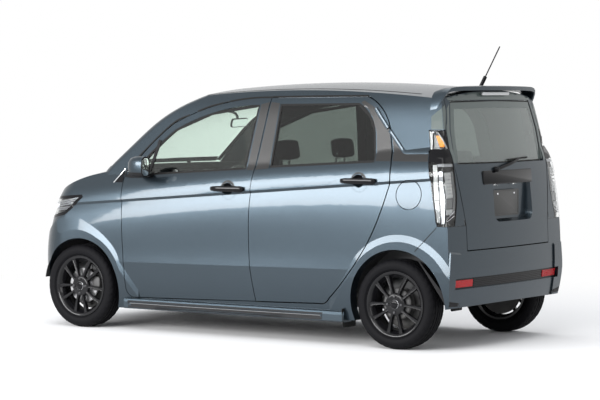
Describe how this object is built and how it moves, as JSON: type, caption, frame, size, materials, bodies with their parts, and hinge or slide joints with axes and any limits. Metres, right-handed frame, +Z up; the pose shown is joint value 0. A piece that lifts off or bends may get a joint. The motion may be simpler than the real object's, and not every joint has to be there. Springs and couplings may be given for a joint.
{
  "type": "tall-wagon kei car",
  "caption": "Boxy tall kei car with hinged doors, hood and tailgate, steered front wheels on alloy rims and a furnished cabin seen through its glass.",
  "frame": {"origin": "on the ground, at the middle of the car's length and width", "axes": "+X towards the rear, +Y to the car's right, +Z up"},
  "size_m": [3.3948, 1.724, 1.8914],
  "materials": {
    "paint": "metallic gloss",
    "underbody": "satin",
    "black_trim": "fine grain",
    "gloss_trim": "gloss",
    "clear_glass": "polished",
    "tinted_glass": "polished",
    "lamp_lens": "polished",
    "tyre": "satin",
    "alloy": "gloss lacquer",
    "steel": "satin",
    "seat_fabric": "woven",
    "dash_plastic": "grained"
  },
  "bodies": {
    "body": {"antenna": "black_trim", "cowl_panel": "black_trim", "dashboard": "dash_plastic", "engine": "steel", "exhaust": "steel", "floor_pan": "underbody", "front_bumper": "paint", "front_fenders": "paint", "front_grille": "gloss_trim", "front_seats": "seat_fabric", "front_subframe": "steel", "fuel_tank": "black_trim", "headlamps": "lamp_lens", "rear_axle": "steel", "rear_bumper": "paint", "rear_seat": "seat_fabric", "roof_panel": "paint", "side_frame_left": "paint", "side_frame_right": "paint", "tail_lamps": "lamp_lens", "windshield": "clear_glass"},
    "front_door_left": {"front_door_left": "paint", "front_door_glass_left": "clear_glass", "mirror_left": "paint"},
    "rear_door_left": {"rear_door_left": "paint", "rear_door_glass_left": "tinted_glass"},
    "knuckle_left": {"knuckle_left": "steel"},
    "wheel_front_left": {"tyre_front_left": "tyre", "rim_front_left": "alloy"},
    "wheel_rear_left": {"tyre_rear_left": "tyre", "rim_rear_left": "alloy"},
    "front_door_right": {"front_door_right": "paint", "front_door_glass_right": "clear_glass", "mirror_right": "paint"},
    "rear_door_right": {"rear_door_right": "paint", "rear_door_glass_right": "tinted_glass"},
    "knuckle_right": {"knuckle_right": "steel"},
    "wheel_front_right": {"tyre_front_right": "tyre", "rim_front_right": "alloy"},
    "wheel_rear_right": {"tyre_rear_right": "tyre", "rim_rear_right": "alloy"},
    "hood": {"hood": "paint"},
    "tailgate": {"tailgate": "paint", "tailgate_glass": "tinted_glass", "rear_spoiler": "paint"},
    "fuel_lid": {"fuel_lid": "paint"},
    "steering_wheel": {"steering_wheel": "dash_plastic"}
  },
  "joints": [
    {"name": "front_door_left_hinge", "type": "hinge", "parent": "body", "child": "front_door_left", "pos_m": [-0.905, -0.735, 0.7], "axis": [0, 0, -1], "range_deg": [0, 65]},
    {"name": "rear_door_left_hinge", "type": "hinge", "parent": "body", "child": "rear_door_left", "pos_m": [0.165, -0.74, 0.7], "axis": [0, 0, -1], "range_deg": [0, 70]},
    {"name": "front_door_right_hinge", "type": "hinge", "parent": "body", "child": "front_door_right", "pos_m": [-0.905, 0.735, 0.7], "axis": [0, 0, 1], "range_deg": [0, 65]},
    {"name": "rear_door_right_hinge", "type": "hinge", "parent": "body", "child": "rear_door_right", "pos_m": [0.165, 0.74, 0.7], "axis": [0, 0, 1], "range_deg": [0, 70]},
    {"name": "hood_hinge", "type": "hinge", "parent": "body", "child": "hood", "pos_m": [-1.165, 0, 1.08], "axis": [0, 1, 0], "range_deg": [0, 48]},
    {"name": "tailgate_hinge", "type": "hinge", "parent": "body", "child": "tailgate", "pos_m": [1.44, 0, 1.619], "axis": [0, -1, 0], "range_deg": [0, 78]},
    {"name": "fuel_lid_hinge", "type": "hinge", "parent": "body", "child": "fuel_lid", "pos_m": [1.277, -0.719, 0.963], "axis": [0, 0, -1], "range_deg": [0, 85]},
    {"name": "steer_left", "type": "hinge", "parent": "body", "child": "knuckle_left", "pos_m": [-1.2475, -0.64, 0.19], "axis": [0, 0.1961, 0.9806], "range_deg": [-32, 32]},
    {"name": "steer_right", "type": "hinge", "parent": "body", "child": "knuckle_right", "pos_m": [-1.2475, 0.64, 0.19], "axis": [0, -0.1961, 0.9806], "range_deg": [-32, 32]},
    {"name": "steering_wheel_turn", "type": "hinge", "parent": "body", "child": "steering_wheel", "pos_m": [-0.6, 0.33, 0.915], "axis": [0.8988, 0, 0.4384], "range_deg": [-480, 480]},
    {"name": "wheel_front_left_spin", "type": "hinge", "parent": "knuckle_left", "child": "wheel_front_left", "pos_m": [-1.2475, -0.6525, 0.28125], "axis": [0, -1, 0], "continuous": true},
    {"name": "wheel_rear_left_spin", "type": "hinge", "parent": "body", "child": "wheel_rear_left", "pos_m": [1.2725, -0.6525, 0.28125], "axis": [0, -1, 0], "continuous": true},
    {"name": "wheel_front_right_spin", "type": "hinge", "parent": "knuckle_right", "child": "wheel_front_right", "pos_m": [-1.2475, 0.6525, 0.28125], "axis": [0, -1, 0], "continuous": true},
    {"name": "wheel_rear_right_spin", "type": "hinge", "parent": "body", "child": "wheel_rear_right", "pos_m": [1.2725, 0.6525, 0.28125], "axis": [0, -1, 0], "continuous": true}
  ],
  "couplings": [
    {"joint": "steer_right", "follows": "steer_left", "ratio": 1},
    {"joint": "steering_wheel_turn", "follows": "steer_left", "ratio": 15}
  ]
}
